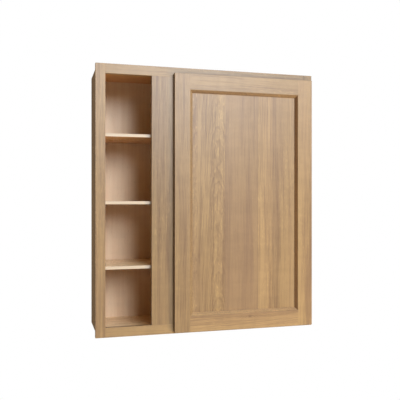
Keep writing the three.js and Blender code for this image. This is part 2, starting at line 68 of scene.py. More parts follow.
FLOOR_HEIGHT = -4.2
FLOOR_HALF_WIDTH = 9.0
FLOOR_REACH = (-9.0, 5.2)  # behind and in front of the camera, along its view
FLOOR_GLOW = 0.13
FLOOR_GLOW_COLOUR = (1, 0.98, 0.95)
FLOOR_COLOURS = ((0.88, 0.88, 0.87), (0.84, 0.84, 0.83))


def make_camera():
    data = bpy.data.cameras.new("camera")
    data.lens = CAMERA_LENS
    data.sensor_width = SENSOR_WIDTH
    data.clip_start = NEAR_CLIP
    camera = bpy.data.objects.new("camera", data)
    camera.location = CAMERA_PLACE
    camera.rotation_euler = (math.pi / 2, 0, -CAMERA_YAW)
    bpy.context.collection.objects.link(camera)
    bpy.context.scene.camera = camera


def area_light(name, target, offset, size, power, colour, shines=True):
    """A round lamp out of the camera's sight, turned to its target."""
    data = bpy.data.lights.new(name, "AREA")
    data.shape = "DISK"
    data.size = size
    data.energy = power
    data.color = colour
    light = bpy.data.objects.new(name, data)
    light.location = target + offset
    light.rotation_euler = (-offset).to_track_quat("-Z", "Y").to_euler()
    light.visible_camera = False
    light.visible_glossy = shines
    bpy.context.collection.objects.link(light)


def background(nodes, colour, strength):
    made = nodes.new("ShaderNodeBackground")
    made.inputs["Color"].default_value = colour
    made.inputs["Strength"].default_value = strength
    return made.outputs[0]


def make_world():
    """A plain white backdrop for the camera, and a faint warm light for everything else."""
    world = bpy.data.worlds.new("studio")
    world.use_nodes = True
    nodes, links = world.node_tree.nodes, world.node_tree.links
    nodes.clear()
    output = nodes.new("ShaderNodeOutputWorld")
    path = nodes.new("ShaderNodeLightPath")
    mix = nodes.new("ShaderNodeMixShader")
    links.new(path.outputs["Is Camera Ray"], mix.inputs[0])
    links.new(background(nodes, WORLD_COLOUR, WORLD_LIGHT), mix.inputs[1])
    links.new(background(nodes, (1, 1, 1, 1), 1), mix.inputs[2])
    links.new(mix.outputs[0], output.inputs["Surface"])
    bpy.context.scene.world = world


def out_at(azimuth, elevation):
    """Where a distant lamp stands from its target: degrees to the right of straight out, and up."""
    azimuth, elevation = math.radians(azimuth), math.radians(elevation)
    level = math.cos(elevation)
    towards = (level * math.sin(azimuth), -level * math.cos(azimuth), math.sin(elevation))
    return Vector(towards) * LAMP_DISTANCE


make_camera()
area_light("key", LAMP_TARGET, out_at(11.5, 20), size=4.5, power=546, colour=COOL_WHITE)
area_light("side", LAMP_TARGET, out_at(32, 21), size=4.4, power=146, colour=SOFT_WHITE)
area_light("overhead", LAMP_TARGET, out_at(-4, 58), size=3.2, power=93, colour=SOFT_WHITE)
area_light("floor_bounce", BOUNCE_TARGET, BOUNCE_OFFSET, size=1.6, power=54, colour=GOLDEN, shines=False)
area_light("sky", SKY_TARGET, SKY_OFFSET, size=1.4, power=9.2, colour=SKY_BLUE, shines=False)
area_light("rear_left", LAMP_TARGET, out_at(-112, 8), size=5.0, power=235, colour=SOFT_WHITE)
area_light("rear_right", LAMP_TARGET, out_at(160, 8), size=5.0, power=200, colour=SOFT_WHITE, shines=False)
make_world()
bpy.context.scene.view_settings.view_transform = "Standard"


# ---------------- node graphs
class Graph:
    """A material's nodes, with inputs given as sockets or as plain values."""

    def __init__(self, name):
        self.material = bpy.data.materials.new(name)
        self.material.use_nodes = True
        self.nodes = self.material.node_tree.nodes
        self.links = self.material.node_tree.links
        self.nodes.clear()
        self.output = self.nodes.new("ShaderNodeOutputMaterial")
        self.shader = self.nodes.new("ShaderNodeBsdfPrincipled")
        self.links.new(self.shader.outputs[0], self.output.inputs["Surface"])

    def put(self, socket, value):
        if isinstance(value, bpy.types.NodeSocket):
            self.links.new(value, socket)
        elif socket.type == "RGBA" and len(value) == 3:
            socket.default_value = (*value, 1)
        else:
            socket.default_value = value

    def node(self, kind, inputs=(), **settings):
        made = self.nodes.new(kind)
        for key, value in settings.items():
            setattr(made, key, value)
        for key, value in dict(inputs).items():
            self.put(made.inputs[key], value)
        return made

    def math(self, operation, *values, clamp=False):
        inputs = dict(enumerate(values))
        return self.node("ShaderNodeMath", inputs, operation=operation, use_clamp=clamp).outputs[0]

    def plus(self, a, b, clamp=False):
        return self.math("ADD", a, b, clamp=clamp)

    def times(self, a, b):
        return self.math("MULTIPLY", a, b)

    def away(self, a, b):
        return self.math("ABSOLUTE", self.math("SUBTRACT", a, b))

    def vector(self, operation, *values):
        made = self.node("ShaderNodeVectorMath", dict(enumerate(values)), operation=operation)
        return made.outputs["Value" if operation == "LENGTH" else "Vector"]

    def combine(self, x, y, z):
        return self.node("ShaderNodeCombineXYZ", {0: x, 1: y, 2: z}).outputs[0]

    def split(self, vector):
        return self.node("ShaderNodeSeparateXYZ", {0: vector}).outputs

    def object_place(self):
        return self.node("ShaderNodeTexCoord").outputs["Object"]

    def noise(self, vector, scale, detail=2.0, roughness=0.5, output="Fac"):
        stretched = self.vector("MULTIPLY", vector, scale)
        inputs = {"Vector": stretched, "Scale": 1.0, "Detail": detail, "Roughness": roughness}
        return self.node("ShaderNodeTexNoise", inputs).outputs[output]

    def warp(self, place, noise_place, scale, detail, reach):
        """A place moved by noise, up to half of reach each way."""
        noise = self.noise(noise_place, scale, detail, output="Color")
        centred = self.vector("SUBTRACT", noise, (0.5, 0.5, 0.5))
        return self.vector("ADD", place, self.vector("MULTIPLY", centred, reach))

    def noise_line(self, place, scale, detail=1.0):
        inputs = {"W": place, "Scale": scale, "Detail": detail}
        return self.node("ShaderNodeTexNoise", inputs, noise_dimensions="1D").outputs["Fac"]

    def band(self, value, low, high, to_low=0.0, to_high=1.0):
        inputs = {"Value": value, 1: low, 2: high, 3: to_low, 4: to_high}
        made = self.node("ShaderNodeMapRange", inputs, interpolation_type="SMOOTHSTEP")
        return made.outputs[0]

    def ramp(self, value, stops, interpolation="LINEAR"):
        made = self.node("ShaderNodeValToRGB", {0: value})
        ramp = made.color_ramp
        ramp.interpolation = interpolation
        while len(ramp.elements) < len(stops):
            ramp.elements.new(1.0)
        for element, (place, colour) in zip(ramp.elements, stops):
            element.position = place
        for element, (place, colour) in zip(ramp.elements, stops):
            shade = (colour,) * 3 if isinstance(colour, (int, float)) else colour
            element.color = (*shade, 1)
        return made.outputs[0]

    def mix(self, factor, a, b, blend="MIX"):
        made = self.node("ShaderNodeMix", data_type="RGBA", blend_type=blend)
        self.put(made.inputs[0], factor)
        self.put(made.inputs[6], a)
        self.put(made.inputs[7], b)
        return made.outputs[2]

    def scale_colour(self, colour, factor):
        grey = self.combine(factor, factor, factor)
        return self.mix(1.0, colour, grey, "MULTIPLY")

    def bump(self, height, distance, strength=1.0):
        inputs = {"Height": height, "Distance": distance, "Strength": strength}
        return self.node("ShaderNodeBump", inputs).outputs[0]

    def set(self, **values):
        for key, value in values.items():
            self.put(self.shader.inputs[key.replace("_", " ")], value)


# Which of the object's axes run across a board's face, through it, and along its grain.
GRAIN_FRAMES = {
    "upright": ("X", "Y", "Z"),
    "level": ("Z", "Y", "X"),
    "side": ("Y", "X", "Z"),
    "deck": ("Y", "Z", "X"),
}


def grain_place(g, grain):
    parts = g.split(g.object_place())
    return g.combine(*(parts[axis] for axis in GRAIN_FRAMES[grain]))


HONEY_LIGHT = (0.447, 0.290, 0.136)
HONEY_DARK = (0.240, 0.142, 0.073)
ROSY = (0.335, 0.205, 0.124)
PORE_BROWN = (0.22, 0.12, 0.05)
FLECK_GLOW = (1.44, 1.46, 1.34)
WOOD_ROUGHNESS = 0.42
# Noise scales across, through and along the grain, detail, and how far the place is moved.
WIDE_BEND = ((3.0, 3.0, 0.9), 2.0, (0.055, 0.03, 0.0))
FINE_BEND = ((19.0, 19.0, 3.2), 3.0, (0.007, 0.007, 0.0))
RAGGED_BEND = ((110.0, 110.0, 30.0), 2.0, (0.0045, 0.0045, 0.0))
# Noise scales across, through and along the grain, detail and roughness.
WOOD_FIGURE = {
    "broad": ((11.0, 11.0, 0.7), 2.0, 0.55),
    "streak": ((52.0, 52.0, 1.3), 3.0, 0.6),
    "strand": ((160.0, 160.0, 3.4), 2.0, 0.6),
    "fibre": ((420.0, 420.0, 9.0), 3.0, 0.65),
    "fleck": ((230.0, 230.0, 62.0), 2.0, 0.5),
    "curl": ((9.0, 9.0, 26.0), 2.0, 0.6),
    "pores": ((1150.0, 1150.0, 42.0), 1.0, 0.5),
}
# The span of noise that each figure uses, and how much it darkens the wood at either end.
WOOD_DEPTH = {
    "streak": (0.33, 0.69, -0.30, 0.22),
    "broad": (0.36, 0.64, -0.26, 0.26),
    "strand": (0.34, 0.66, -0.20, 0.18),
    "fibre": (0.35, 0.68, -0.20, 0.26),
}
GROUND_DEPTH = 0.20
BLUSH_SCALE = (7.0, 7.0, 1.1)
PATCH_SCALE = (10.0, 10.0, 2.4)
MOTTLE_SCALE = (330.0, 330.0, 190.0)
RING_PITCH = 0.0042
RING_UNEVENNESS = 3.0  # in rings
RING_TONES = [(0.0, 0.05), (0.35, 0.16), (0.62, 0.45), (0.84, 1.0), (0.93, 0.72), (1.0, 0.05)]
PITH_WANDER = 0.05
STAVE_SHIFT_ACROSS = 0.9
STAVE_SHIFT_THROUGH = 0.035
KNOT_RADIUS = 0.006
KNOT_SWELL = 0.028
KNOT_RINGS = 3.0
KNOT_STRETCH = 0.55
KNOT_DEPTH = 0.45
LINING_SHADE = 0.92
# Darker, warmer undersides of the shelves and ceiling: painted shade under the boards, warm like light
# bounced off the wood.
UNDERSIDE_SHADE = (0.84, 0.59, 0.36)
MAPLE_LIGHT = (0.91, 0.71, 0.50)
MAPLE_DARK = (0.81, 0.585, 0.385)
MAPLE_FLECK = (0.42, 0.27, 0.15)
MAPLE_BEND = ((4.0, 4.0, 0.8), 2.0, (0.05, 0.05, 0.0))
MAPLE_FIGURE = {
    "broad": ((9.0, 9.0, 0.6), 2.0),
    "streak": ((60.0, 60.0, 1.3), 3.0, 0.6),
    "fibre": ((380.0, 380.0, 11.0), 3.0, 0.6),
    "fleck": ((520.0, 520.0, 95.0), 1.0),
    "curl": ((12.0, 12.0, 30.0), 2.0),
}


def stave_looks(g, place, staves):
    """Glued-up staves: each is another board, so its tone, hue and rings step at the glue line."""
    low, high, table = staves
    share = g.node("ShaderNodeMapRange", {"Value": g.split(place)["X"], 1: low, 2: high}).outputs[0]
    stops = [((edge - low) / (high - low), look) for edge, look in table]
    return g.node("ShaderNodeSeparateColor", {0: g.ramp(share, stops, "CONSTANT")}).outputs


def ring_phase(g, across, through, along, seed, pith, tilt):
    """How many growth rings lie between a point and the pith."""
    pith_through = g.math("MULTIPLY_ADD", along, tilt, pith[1])
    wander = g.noise_line(g.plus(along, seed * 3.1), 2.2, 2.0)
    pith_through = g.math("MULTIPLY_ADD", wander, PITH_WANDER, pith_through)
    aside = g.math("SUBTRACT", across, pith[0])
    behind = g.math("SUBTRACT", through, pith_through)
    radius = g.vector("LENGTH", g.combine(aside, behind, 0.0))
    uneven = g.noise_line(g.plus(radius, seed * 1.7), 34.0, 2.0)
    uneven_rings = g.times(uneven, RING_UNEVENNESS)
    return g.plus(g.math("DIVIDE", radius, RING_PITCH), uneven_rings)


def live_knot(g, across, along, knot):
    """How many rings a small knot swells by, and how much of its dark middle a point has."""
    aside = g.math("SUBTRACT", across, knot[0])
    up = g.times(g.math("SUBTRACT", along, knot[1]), KNOT_STRETCH)
    distance = g.vector("LENGTH", g.combine(aside, up, 0.0))
    swell = g.band(distance, 0.0, KNOT_SWELL, KNOT_RINGS, 0.0)
    return swell, g.band(distance, KNOT_RADIUS, 0.3 * KNOT_RADIUS)


def line_inside(g, colour, depth, within):
    """The face turned to the inside carries the same pale veneer as the other panels."""
    off_centre = g.math("ABSOLUTE", g.split(g.object_place())["X"])
    veneer = g.mix(g.times(depth, 0.8), MAPLE_LIGHT, MAPLE_DARK)
    inside = g.math("LESS_THAN", off_centre, within)
    return g.mix(inside, colour, g.scale_colour(veneer, LINING_SHADE))


def paint_edge_light_and_stain(g, colour, loose, edge_light_and_stain):
    """The cut moulding and the board's outer edge are tinted apart from the face: painted light and shade for
    the way each one faces, with stain soaking deeper there as well.
    """
    zone, tint, outer_limit, outer_tint = edge_light_and_stain
    own = g.split(g.object_place())
    aside = g.away(own["X"], zone["x"])
    above = g.away(own["Z"], zone["z"])
    beside = g.math("LESS_THAN", aside, zone["half_width"])
    level = g.math("LESS_THAN", above, zone["half_height"])
    in_front = g.math("LESS_THAN", own["Y"], zone["last"])
    moulded = g.times(g.times(beside, level), in_front)
    is_outer = g.math("LESS_THAN", own["X"], outer_limit)
    blotch = g.band(g.noise(loose, MOTTLE_SCALE, 2.0), 0.35, 0.65, 0.86, 1.12)
    lit_and_stained = g.scale_colour(g.mix(is_outer, tint, outer_tint), blotch)
    behind_face = g.band(own["Y"], zone["start"], zone["end"])
    share = g.times(behind_face, g.math("MAXIMUM", moulded, is_outer))
    return g.mix(1.0, colour, g.mix(share, (1, 1, 1), lit_and_stained), "MULTIPLY")


def stained_wood(name, grain, seed, tone, pith, rings, rosy=0.5, tilt=0.05, staves=None,
                 edge_light_and_stain=None, knot=None, lined_within=None):
    """Clear-finished, honey-stained hardwood. The growth rings are cut from a trunk whose
    pith runs behind the board's face, tilted a little, so a flat-sawn face shows arches."""
    g = Graph(name)
    # Each seed looks at its own part of the noise.
    spread = Vector((seed * 1.37 % 1, seed * 0.71 % 1, seed * 2.13 % 1)) * 4
    place = grain_place(g, grain)
    loose = g.vector("ADD", place, spread)
    bent = g.warp(g.warp(place, loose, *WIDE_BEND), loose, *FINE_BEND)
    parts = g.split(g.warp(bent, loose, *RAGGED_BEND))
    across, through, along = parts["X"], parts["Y"], parts["Z"]
    if staves:
        stave_tone, stave_rosy, stave_shift = stave_looks(g, place, staves)
        across = g.plus(across, g.times(stave_shift, STAVE_SHIFT_ACROSS))
        through = g.plus(through, g.times(stave_shift, STAVE_SHIFT_THROUGH))
    phase = ring_phase(g, across, through, along, seed, pith, tilt)
    if knot:
        swell, knot_core = live_knot(g, across, along, knot)
        phase = g.plus(phase, swell)
    each = g.noise_line(g.times(g.math("FLOOR", phase), 0.37), 3.3, 1.0)
    late = g.ramp(g.math("FRACT", phase), RING_TONES)
    late = g.times(late, g.band(each, 0.30, 0.68, 0.35, 1.0))

    flow = g.vector("ADD", bent, spread)
    figure = {kind: g.noise(flow, *settings) for kind, settings in WOOD_FIGURE.items()}
    fibre = figure["fibre"]
    depth = g.times(late, rings)
    for kind, span in WOOD_DEPTH.items():
        depth = g.plus(depth, g.band(figure[kind], *span))
    depth = g.plus(depth, GROUND_DEPTH, clamp=True)
    if knot:
        depth = g.plus(depth, g.times(knot_core, KNOT_DEPTH), clamp=True)
    colour = g.mix(depth, HONEY_LIGHT, HONEY_DARK)
    rosy_share = g.times(g.band(g.noise(loose, BLUSH_SCALE, 2.0), 0.35, 0.7), rosy)
    if staves:
        rosy_share = g.plus(rosy_share, g.times(stave_rosy, 0.75), clamp=True)
    colour = g.mix(rosy_share, colour, g.mix(0.55, colour, ROSY))
    off_pith = g.away(across, pith[0])
    lying_flat = g.band(off_pith, 0.012, 0.05, 0.66, 0.0)
    patch = g.band(g.noise(loose, PATCH_SCALE, 2.0), 0.50, 0.66, 0.08, 0.5)
    flecks = g.band(figure["fleck"], 0.51, 0.68, 0.0, 0.75)
    flecks = g.times(flecks, g.math("MAXIMUM", lying_flat, patch))
    colour = g.mix(flecks, colour, g.mix(1.0, colour, FLECK_GLOW, "MULTIPLY"))
    pore_mask = g.times(g.band(figure["pores"], 0.63, 0.74), g.band(late, 0.05, 0.6, 0.35, 0.8))
    colour = g.mix(g.times(pore_mask, 0.5), colour, PORE_BROWN)
    shade = g.times(g.band(figure["curl"], 0.3, 0.7, 0.965, 1.035), tone)
    if knot:
        shade = g.times(shade, g.math("MULTIPLY_ADD", knot_core, -0.12, 1.0))
    if staves:
        shade = g.times(shade, g.math("MULTIPLY_ADD", stave_tone, 0.3, 0.85))
    colour = g.scale_colour(colour, shade)
    if lined_within is not None:
        colour = line_inside(g, colour, depth, lined_within)
    # Painted light and shade on the door's moulding and outer edge, with deeper stain.
    if edge_light_and_stain:
        colour = paint_edge_light_and_stain(g, colour, loose, edge_light_and_stain)

    height = g.math("MULTIPLY_ADD", pore_mask, -1.0, g.times(fibre, 0.5))
    height = g.math("MULTIPLY_ADD", late, 0.25, height)
    roughness = g.band(fibre, 0.3, 0.7, WOOD_ROUGHNESS - 0.04, WOOD_ROUGHNESS + 0.06)
    roughness = g.plus(roughness, g.times(pore_mask, 0.12))
    g.set(Base_Color=colour, Roughness=roughness, Normal=g.bump(height, 0.00012, 0.55))
    g.set(Specular_IOR_Level=0.5, Coat_Weight=0.38, Coat_Roughness=0.30)
    return g.material


def maple_veneer(name, grain, seed, tone=(1, 1, 1), rough=0.42, under=None, under_tone=UNDERSIDE_SHADE):
    """Pale sealed maple veneer: faint rings, fine fibres and small dark flecks."""
    g = Graph(name)
    spread = Vector((seed * 1.91 % 1, seed * 0.57 % 1, seed * 1.23 % 1)) * 5
    place = g.vector("ADD", grain_place(g, grain), spread)
    bent = g.warp(place, place, *MAPLE_BEND)
    figure = {kind: g.noise(bent, *settings) for kind, settings in MAPLE_FIGURE.items()}
    fibre, fleck = figure["fibre"], figure["fleck"]
    depth = g.band(figure["broad"], 0.35, 0.68, 0.0, 0.5)
    depth = g.plus(depth, g.band(figure["streak"], 0.38, 0.68, -0.1, 0.35))
    depth = g.plus(depth, g.band(fibre, 0.35, 0.7, -0.08, 0.18), clamp=True)
    colour = g.mix(depth, MAPLE_LIGHT, MAPLE_DARK)
    colour = g.mix(g.band(fleck, 0.66, 0.78, 0.0, 0.35), colour, MAPLE_FLECK)
    face_tone = tone
    if under is not None:
        # The underside takes a colour of its own; on the shelves and ceiling it is darker and warmer, painted
        # shade under the board.
        is_under = g.math("LESS_THAN", g.split(g.object_place())["Z"], under)
        face_tone = g.mix(is_under, tone, under_tone)
    curl_shade = g.band(figure["curl"], 0.3, 0.7, 0.975, 1.025)
    colour = g.scale_colour(g.mix(1.0, colour, face_tone, "MULTIPLY"), curl_shade)
    height = g.plus(fibre, g.times(fleck, 0.4))
    g.set(Base_Color=colour, Normal=g.bump(height, 0.00006, 0.5))
    g.set(Roughness=g.band(fibre, 0.3, 0.7, rough - 0.05, rough + 0.06), Specular_IOR_Level=0.5)
    return g.material


def edge_band(name, seed):
    """Pale woodgrain edge tape with a soft satin face."""
    g = Graph(name)
    place = g.vector("ADD", grain_place(g, "deck"), (seed, seed * 2, seed * 3))
    streak = g.noise(place, (300.0, 300.0, 4.0), 3.0, 0.6)
    fleck = g.noise(place, (900.0, 900.0, 60.0), 1.0)
    colour = g.mix(g.band(streak, 0.3, 0.7), (0.82, 0.69, 0.54), (0.75, 0.60, 0.44))
    colour = g.mix(g.band(fleck, 0.64, 0.76, 0.0, 0.3), colour, (0.55, 0.4, 0.26))
    g.set(Base_Color=colour, Roughness=g.band(streak, 0.3, 0.7, 0.34, 0.46))
    g.set(Normal=g.bump(streak, 0.00004, 0.5), Specular_IOR_Level=0.5)
    return g.material


def plated_metal(name, colour, dull, rough, seed):
    """Plated pressed steel: fine rolling lines, faint cloudiness and handling marks."""
    g = Graph(name)
    place = g.vector("ADD", g.object_place(), (seed, seed * 2, seed * 3))
    rolled = g.noise(place, (2600.0, 2600.0, 160.0), 2.0, 0.6)
    cloud = g.noise(place, (110.0, 110.0, 110.0), 3.0, 0.6)
    rub = g.band(g.noise(place, (420.0, 420.0, 420.0), 3.0, 0.7), 0.58, 0.72)
    shade = g.mix(g.band(cloud, 0.3, 0.7), colour, dull)
    shade = g.mix(g.times(rub, 0.3), shade, g.scale_colour(shade, 0.7))
    roughness = g.band(cloud, 0.3, 0.7, rough - 0.06, rough + 0.08)
    roughness = g.plus(roughness, g.times(rub, 0.1))
    g.set(Base_Color=shade, Roughness=roughness, Metallic=1.0)
    g.set(Normal=g.bump(rolled, 0.00001, 0.35))
    return g.material


def clear_rubber(name):
    """Clear soft bumper plastic, faintly cloudy."""
    g = Graph(name)
    cloud = g.noise(g.object_place(), (420.0, 420.0, 420.0), 3.0)
    g.set(Base_Color=g.mix(g.band(cloud, 0.3, 0.7), (0.93, 0.94, 0.93), (0.86, 0.87, 0.85)))
    g.set(Roughness=g.band(cloud, 0.3, 0.7, 0.16, 0.28), Transmission_Weight=0.7, IOR=1.45)
    g.set(Normal=g.bump(cloud, 0.00003, 0.4))
    return g.material


# ---------------- geometry
def thing(name, bm):
    bmesh.ops.recalc_face_normals(bm, faces=bm.faces[:])
    mesh = bpy.data.meshes.new(name)
    bm.to_mesh(mesh)
    bm.free()
    made = bpy.data.objects.new(name, mesh)
    bpy.context.collection.objects.link(made)
    return made


def block(lo, hi, ease=0.0):
    """A board's blank with its edges eased."""
    bm = bmesh.new()
    bmesh.ops.create_cube(bm, size=2)
    for v in bm.verts:
        v.co = [hi[k] if v.co[k] > 0 else lo[k] for k in range(3)]
    if ease:
        edges = {"geom": bm.edges[:], "affect": "EDGES"}
        bmesh.ops.bevel(bm, **edges, offset=ease, segments=2, profile=0.5, clamp_overlap=True)
    return bm


def sweep(outline, stations):
    """A closed outline carried through stations: each station maps an outline point to 3D."""
    bm = bmesh.new()
    rings = [[bm.verts.new(place(u, v)) for u, v in outline] for place in stations]
    for a, b in zip(rings, rings[1:]):
        for i in range(len(outline)):
            j = (i + 1) % len(outline)
            bm.faces.new((a[i], a[j], b[j], b[i]))
    bm.faces.new(rings[0][::-1])
    bm.faces.new(rings[-1])
    return bm


def turn(profile, segments, axis, centre):
    """A profile of (radius, distance along axis) spun into a closed body."""
    axis = Vector(axis)
    side = axis.orthogonal().normalized()
    other = axis.cross(side)
    centre = Vector(centre)
    bm = bmesh.new()
    rings = []
    for radius, along in profile:
        if not radius:
            rings.append([bm.verts.new(centre + axis * along)])
            continue
        ring = []
        for i in range(segments):
            angle = math.tau * i / segments
            out = side * math.cos(angle) + other * math.sin(angle)
            ring.append(bm.verts.new(centre + axis * along + out * radius))
        rings.append(ring)
    for a, b in zip(rings, rings[1:]):
        for i in range(segments):
            j = (i + 1) % segments
            quad = [a[i % len(a)], a[j % len(a)], b[j % len(b)], b[i % len(b)]]
            face = [c for k, c in enumerate(quad) if c not in quad[:k]]
            if len(face) > 2:
                bm.faces.new(face)
    return bm


def boolean(base, operation, cutters):
    """The base mesh with each cutter added, cut away or kept, as a new bmesh."""
    body = thing("boolean_base", base)
    helpers = [thing("boolean_cutter", cutter) for cutter in cutters]
    for helper in helpers:
        modifier = body.modifiers.new("cut", "BOOLEAN")
        modifier.operation = operation
        modifier.solver = "EXACT"
        modifier.object = helper
    graph = bpy.context.evaluated_depsgraph_get()
    made = bmesh.new()
    evaluated = body.evaluated_get(graph)
    made.from_mesh(evaluated.to_mesh())
    evaluated.to_mesh_clear()
    for helper in [body, *helpers]:
        mesh = helper.data
        bpy.data.objects.remove(helper)
        bpy.data.meshes.remove(mesh)
    bmesh.ops.remove_doubles(made, verts=made.verts[:], dist=1e-7)
    return made


def finish_piece(name, bm, material, body, nodes, smooth=None):
    """A mesh made into a piece, smooth except where it turns by more than smooth degrees."""
    piece = thing(name, bm)
    piece.data.materials.append(material)
    if smooth:
        piece.data.shade_smooth()
        piece.data.set_sharp_from_angle(angle=math.radians(smooth))
    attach(piece, body)
    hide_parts(*nodes)
    return piece


# ---------------- face frame
FRAME_EASE = 0.35 * MM
TENON = 12.7 * MM
TENON_SHOULDER = 6.35 * MM
TENON_THICKNESS = 6.35 * MM


def box_of(node):
    return (Vector(v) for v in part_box(node))


left_lo, left_hi = box_of("frame_left_stile")
right_lo, right_hi = box_of("frame_right_stile")
top_lo, top_hi = box_of("frame_top_rail")
bottom_lo, bottom_hi = box_of("frame_bottom_rail")
blind_lo, blind_hi = box_of("frame_blind_stile")
frame_front, frame_back = left_lo.y, left_hi.y
open_left, open_right = left_hi.x, right_lo.x
open_base, open_top = bottom_hi.z, top_lo.z
tenon_y = (
    (frame_front + frame_back - TENON_THICKNESS) / 2,
    (frame_front + frame_back + TENON_THICKNESS) / 2,
)


def side_tenon(edge, outwards, band):
    x = sorted((edge, edge + outwards * TENON))
    lo = (x[0], tenon_y[0], band[0] + TENON_SHOULDER)
    hi = (x[1], tenon_y[1], band[1] - TENON_SHOULDER)
    return lo, hi


def blind_tenon(end):
    z = (open_top, open_top + TENON) if end == "top" else (open_base - TENON, open_base)
    lo = (blind_lo.x + TENON_SHOULDER, tenon_y[0], z[0])
    hi = (blind_hi.x - TENON_SHOULDER, tenon_y[1], z[1])
    return lo, hi


def stub(span, axis=0, overlap=0.0):
    """A tenon's box, run a little into its own board so that the two join."""
    lo, hi = (list(v) for v in span)
    grown = hi if overlap > 0 else lo
    grown[axis] += overlap
    return block(lo, hi)


ROOT = 2 * MM
rail_bands = {"top": (open_top, top_hi.z), "bottom": (bottom_lo.z, open_base)}


def frame_stile(lo, hi, edge, outwards):
    mortises = [stub(side_tenon(edge, outwards, band)) for band in rail_bands.values()]
    return boolean(block(lo, hi, FRAME_EASE), "DIFFERENCE", mortises)


def frame_rail(end):
    band = rail_bands[end]
    bar = block((open_left, frame_front, band[0]), (open_right, frame_back, band[1]), FRAME_EASE)
    tenons = [
        stub(side_tenon(open_left, -1, band), 0, ROOT),
        stub(side_tenon(open_right, 1, band), 0, -ROOT),
    ]
    return boolean(boolean(bar, "UNION", tenons), "DIFFERENCE", [stub(blind_tenon(end))])


def frame_blind_stile():
    lo = (blind_lo.x, frame_front, open_base)
    hi = (blind_hi.x, frame_back, open_top)
    tenons = [stub(blind_tenon("top"), 2, -ROOT), stub(blind_tenon("bottom"), 2, ROOT)]
    return boolean(block(lo, hi, FRAME_EASE), "UNION", tenons)


# Each member's mesh and grain, then its wood's seed, tone, pith and strength of rings.
FRAME_MEMBERS = {
    "left_stile": (frame_stile(left_lo, left_hi, open_left, -1), "upright", 1.0, 1.1, (-0.72, -0.22), 0.4),
    "right_stile": (frame_stile(right_lo, right_hi, open_right, 1), "upright", 2.0, 0.93, (0.75, -0.25), 0.4),
    "top_rail": (frame_rail("top"), "level", 3.0, 0.98, (0.3, -0.25), 0.35),
    "bottom_rail": (frame_rail("bottom"), "level", 4.0, 1.06, (-1.25, -0.24), 0.75),
    "blind_stile": (frame_blind_stile(), "upright", 9.3, 0.93, (-0.42, -0.2), 0.4),
}
for member, (mesh, grain, *look) in FRAME_MEMBERS.items():
    wood = stained_wood(f"{member}_wood", grain, *look)
    finish_piece(f"{member}_board", mesh, wood, "cabinet", [f"frame_{member}"])


# ---------------- carcass
PANEL_EASE = 0.25 * MM
SHELF_EASE = 0.2 * MM
BAND_EASE = 0.35 * MM
LINING_ROOM = 0.2 * MM


def board(name, node, material, body="cabinet", ease=PANEL_EASE):
    lo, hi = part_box(node)
    return finish_piece(name, block(lo, hi, ease), material, body, [node])


DECK_TONE = (1.04, 1.0, 0.82)  # the veneer lying flat is made warmer than the back panel's
DECK_ROUGHNESS = 0.27
OUTSIDE_TONE = (0.66, 0.60, 0.52)
OUTSIDE_ROUGHNESS = 0.6


def deck_maple(name, seed, node, tone=DECK_TONE, rough=DECK_ROUGHNESS, under_tone=UNDERSIDE_SHADE):
    lo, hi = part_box(node)
    return maple_veneer(name, "deck", seed, tone, rough, (lo[2] + hi[2]) / 2, under_tone)


ceiling_maple = deck_maple("ceiling_maple", 1.0, "top_panel", OUTSIDE_TONE, OUTSIDE_ROUGHNESS)
PANELS = {
    "ceiling": ("top_panel", ceiling_maple),
    "floor": ("bottom_panel", deck_maple("floor_maple", 2.0, "bottom_panel", under_tone=OUTSIDE_TONE)),
    "back": ("back_panel", maple_veneer("back_maple", "upright", 3.0)),
    "upper_hang": ("top_hang_rail", maple_veneer("upper_hang_maple", "level", 4.0)),
    "lower_hang": ("bottom_hang_rail", maple_veneer("lower_hang_maple", "level", 5.0)),
}
for panel, (node, veneer) in PANELS.items():
    board(f"{panel}_board", node, veneer)


def paint_node(node, material):
    """A new finish for a CAD solid that stays as it is."""
    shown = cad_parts[node]
    for slot in shown.material_slots:
        slot.material = material


for index, side in enumerate(("left", "right")):
    side_lo, side_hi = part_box(f"{side}_side_panel")
    inner_face = min(abs(side_lo[0]), abs(side_hi[0]))
    paint_node(f"{side}_side_panel", stained_wood(
        f"{side}_side_wood", "side", 6.0 + index, tone=1.25, pith=(-0.15, 0.2), rings=0.3,
        lined_within=inner_face + LINING_ROOM,
    ))

LEVELS = ("upper", "middle", "lower")
for index, level in enumerate(LEVELS):
    shelf = f"{level}_shelf"
    veneer = deck_maple(f"{shelf}_maple", 6.0 + index, shelf)
    tape = edge_band(f"{level}_band_tape", 1.0 + index)
    board(f"{shelf}_board", shelf, veneer, shelf, SHELF_EASE)
    board(f"{shelf}_band", f"{shelf}_edge_band", tape, shelf, BAND_EASE)


# ---------------- door
PROFILE_WIDTH = 12.1 * MM
BEVEL_DEPTH = 11.2 * MM
PANEL_DEPTH = 12 * MM  # behind the door's front
PANEL_THICKNESS = 4.8 * MM
TONGUE = 7.5 * MM
GROOVE_ROOM = 1 * MM
MITRE_GAP = 0.15 * MM
MEMBER_WIDTH = 63.5 * MM
DOOR_TENON = 9.5 * MM
DOOR_TENON_SHOULDER = 8 * MM
FRONT_EASE = 1.2 * MM
BACK_EASE = 2.5 * MM
EASE_STEPS = 4

hinge_lo, hinge_hi = box_of("door_hinge_stile")
free_lo, free_hi = box_of("door_free_stile")
door_left, door_right = free_lo.x, hinge_hi.x
door_base, door_top = free_lo.z, free_hi.z
door_front, door_back = free_lo.y, free_hi.y
inner_x = {"left": door_left + MEMBER_WIDTH, "right": door_right - MEMBER_WIDTH}
inner_z = {"top": door_top - MEMBER_WIDTH, "bottom": door_base + MEMBER_WIDTH}
panel_front = door_front + PANEL_DEPTH
panel_back = panel_front + PANEL_THICKNESS
groove_floor = PROFILE_WIDTH - TONGUE - GROOVE_ROOM

